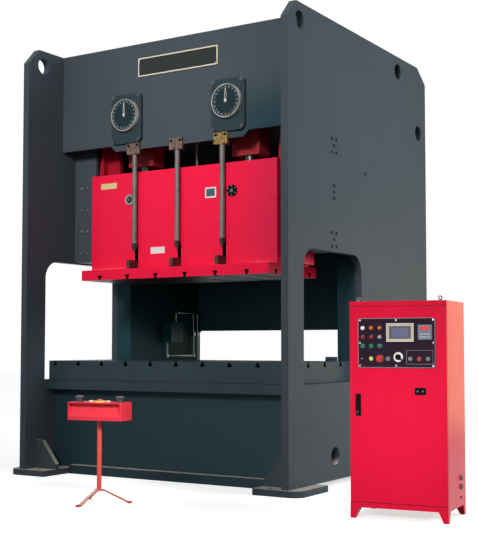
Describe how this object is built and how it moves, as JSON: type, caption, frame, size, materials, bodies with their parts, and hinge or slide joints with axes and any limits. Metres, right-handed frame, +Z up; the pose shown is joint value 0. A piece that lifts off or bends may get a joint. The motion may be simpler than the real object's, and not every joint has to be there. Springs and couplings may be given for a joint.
{
  "type": "hydraulic press",
  "caption": "Straight-side press with side plates, crown, bed, guided slide, T-slotted table, stroke dials and knock-out bars, with a control cabinet and a two-hand console.",
  "frame": {"origin": "floor level, at the centre of the four anchor holes in the feet", "axes": "+X to the right, +Y to the rear, +Z up"},
  "size_m": [5.0642, 4.632, 4.5],
  "materials": {
    "frame_paint": "satin",
    "frame_inside": "satin",
    "table_steel": "machined",
    "red_paint": "satin",
    "dark_steel": "oiled",
    "rod_steel": "satin",
    "bolt_black": "blackened",
    "bronze": "aged",
    "chrome": "polished",
    "valve_paint": "satin",
    "pipe_steel": "satin",
    "dial_black": "satin",
    "pointer_white": "painted",
    "panel_black": "satin",
    "screen_bezel": "matte",
    "counter_grey": "matte",
    "handle_black": "gloss",
    "button_green": "gloss",
    "button_yellow": "gloss",
    "button_red": "gloss",
    "button_grey": "matte",
    "button_black": "matte",
    "gland_grey": "matte"
  },
  "bodies": {
    "root": {"side_plate_right": "frame_paint", "side_plate_left": "frame_paint", "feet": "frame_paint", "crown_front_plate": "frame_paint", "crown_box": "frame_paint", "column_right": "frame_inside", "column_left": "frame_inside", "rear_wall": "frame_paint", "bolster": "table_steel", "bed_top_plate": "table_steel", "bed_box": "frame_paint", "guide_rail_right": "frame_paint", "guide_rail_left": "frame_paint", "frame_bolts": "bolt_black", "cylinder_left": "valve_paint", "rod_housing_left": "red_paint", "cylinder_right": "valve_paint", "rod_housing_right": "red_paint", "dial_left": "dial_black", "dial_right": "dial_black", "knockout_brackets": "bronze", "knockout_rods": "rod_steel", "valve_box": "valve_paint", "hydraulic_pipes": "pipe_steel", "cabinet_body": "red_paint", "lifting_eyes": "pipe_steel", "cable_glands": "gland_grey", "console_box": "red_paint", "console_stand": "red_paint"},
    "slide": {"slide_body": "red_paint", "slide_plate": "red_paint", "ram_left": "chrome", "ram_right": "chrome", "stroke_rod": "rod_steel"},
    "knockout_bar_left": {"knockout_bar_left": "dark_steel"},
    "knockout_bar_middle": {"knockout_bar_middle": "dark_steel"},
    "knockout_bar_right": {"knockout_bar_right": "dark_steel"},
    "pointer_left": {"pointer_left": "pointer_white"},
    "pointer_right": {"pointer_right": "pointer_white"},
    "door": {"cabinet_door": "red_paint", "control_panel": "panel_black", "touch_screen": "screen_bezel", "counter": "counter_grey"},
    "door_handle": {"door_handle": "handle_black"},
    "green_button_left": {"green_button_left": "button_green"},
    "green_button_middle": {"green_button_middle": "button_green"},
    "green_button_right": {"green_button_right": "button_green"},
    "toggle_switch": {"toggle_switch": "chrome"},
    "yellow_button": {"yellow_button": "button_yellow"},
    "cabinet_stop": {"cabinet_stop": "button_red"},
    "grey_knob": {"grey_knob": "button_grey"},
    "mode_selector": {"mode_selector": "button_black"},
    "group_button_left": {"group_button_left": "button_grey"},
    "group_button_middle": {"group_button_middle": "button_red"},
    "group_button_right": {"group_button_right": "button_grey"},
    "palm_button_left": {"palm_button_left": "button_black"},
    "palm_button_right": {"palm_button_right": "button_black"},
    "console_stop": {"console_stop": "button_red"},
    "console_button_left": {"console_button_left": "button_black"},
    "console_button_right": {"console_button_right": "button_black"}
  },
  "joints": [
    {"name": "slide_stroke", "type": "slide", "parent": "root", "child": "slide", "axis": [0, 0, 1], "range_m": [-0.4, 0]},
    {"name": "knockout_bar_left_lift", "type": "slide", "parent": "slide", "child": "knockout_bar_left", "axis": [0, 0, 1], "range_m": [0, 0.09]},
    {"name": "knockout_bar_middle_lift", "type": "slide", "parent": "slide", "child": "knockout_bar_middle", "axis": [0, 0, 1], "range_m": [0, 0.09]},
    {"name": "knockout_bar_right_lift", "type": "slide", "parent": "slide", "child": "knockout_bar_right", "axis": [0, 0, 1], "range_m": [0, 0.09]},
    {"name": "pointer_left_turn", "type": "hinge", "parent": "root", "child": "pointer_left", "pos_m": [-0.635, -1.1403, 3.75], "axis": [0, 1, 0], "range_deg": [0, 300]},
    {"name": "pointer_right_turn", "type": "hinge", "parent": "root", "child": "pointer_right", "pos_m": [0.635, -1.1403, 3.75], "axis": [0, 1, 0], "range_deg": [0, 300]},
    {"name": "door_hinge", "type": "hinge", "parent": "root", "child": "door", "pos_m": [3.32525, -2.20104, 0.7], "axis": [0, 0, 1], "range_deg": [0, 110]},
    {"name": "door_handle_turn", "type": "hinge", "parent": "door", "child": "door_handle", "pos_m": [2.631, -2.28658, 0.962], "axis": [-0.9925, -0.1219, 0], "range_deg": [0, 40]},
    {"name": "green_button_left_press", "type": "slide", "parent": "door", "child": "green_button_left", "axis": [-0.1219, 0.9925, 0], "range_m": [0, 0.004], "stiffness_N_per_m": 600},
    {"name": "green_button_middle_press", "type": "slide", "parent": "door", "child": "green_button_middle", "axis": [-0.1219, 0.9925, 0], "range_m": [0, 0.004], "stiffness_N_per_m": 600},
    {"name": "green_button_right_press", "type": "slide", "parent": "door", "child": "green_button_right", "axis": [-0.1219, 0.9925, 0], "range_m": [0, 0.004], "stiffness_N_per_m": 600},
    {"name": "yellow_button_press", "type": "slide", "parent": "door", "child": "yellow_button", "axis": [-0.1219, 0.9925, 0], "range_m": [0, 0.004], "stiffness_N_per_m": 600},
    {"name": "group_button_left_press", "type": "slide", "parent": "door", "child": "group_button_left", "axis": [-0.1219, 0.9925, 0], "range_m": [0, 0.004], "stiffness_N_per_m": 600},
    {"name": "group_button_middle_press", "type": "slide", "parent": "door", "child": "group_button_middle", "axis": [-0.1219, 0.9925, 0], "range_m": [0, 0.004], "stiffness_N_per_m": 600},
    {"name": "group_button_right_press", "type": "slide", "parent": "door", "child": "group_button_right", "axis": [-0.1219, 0.9925, 0], "range_m": [0, 0.004], "stiffness_N_per_m": 600},
    {"name": "cabinet_stop_press", "type": "slide", "parent": "door", "child": "cabinet_stop", "axis": [-0.1219, 0.9925, 0], "range_m": [0, 0.004]},
    {"name": "toggle_switch_tilt", "type": "hinge", "parent": "door", "child": "toggle_switch", "pos_m": [2.67489, -2.2953, 1.236], "axis": [0.9925, 0.1219, 0], "range_deg": [-12, 12]},
    {"name": "grey_knob_turn", "type": "hinge", "parent": "door", "child": "grey_knob", "pos_m": [2.87837, -2.27032, 1.236], "axis": [-0.1219, 0.9925, 0], "range_deg": [-45, 45]},
    {"name": "mode_selector_turn", "type": "hinge", "parent": "door", "child": "mode_selector", "pos_m": [2.95777, -2.26057, 1.249], "axis": [-0.1219, 0.9925, 0], "range_deg": [-45, 45]},
    {"name": "palm_button_left_press", "type": "slide", "parent": "root", "child": "palm_button_left", "axis": [0, 0, -1], "range_m": [0, 0.006], "stiffness_N_per_m": 900},
    {"name": "palm_button_right_press", "type": "slide", "parent": "root", "child": "palm_button_right", "axis": [0, 0, -1], "range_m": [0, 0.006], "stiffness_N_per_m": 900},
    {"name": "console_button_left_press", "type": "slide", "parent": "root", "child": "console_button_left", "axis": [0, 0, -1], "range_m": [0, 0.006], "stiffness_N_per_m": 600},
    {"name": "console_button_right_press", "type": "slide", "parent": "root", "child": "console_button_right", "axis": [0, 0, -1], "range_m": [0, 0.006], "stiffness_N_per_m": 600},
    {"name": "console_stop_press", "type": "slide", "parent": "root", "child": "console_stop", "axis": [0, 0, -1], "range_m": [0, 0.006]}
  ],
  "couplings": [
    {"joint": "pointer_left_turn", "follows": "slide_stroke", "rad_per_m": -13.08},
    {"joint": "pointer_right_turn", "follows": "slide_stroke", "rad_per_m": -13.08}
  ]
}
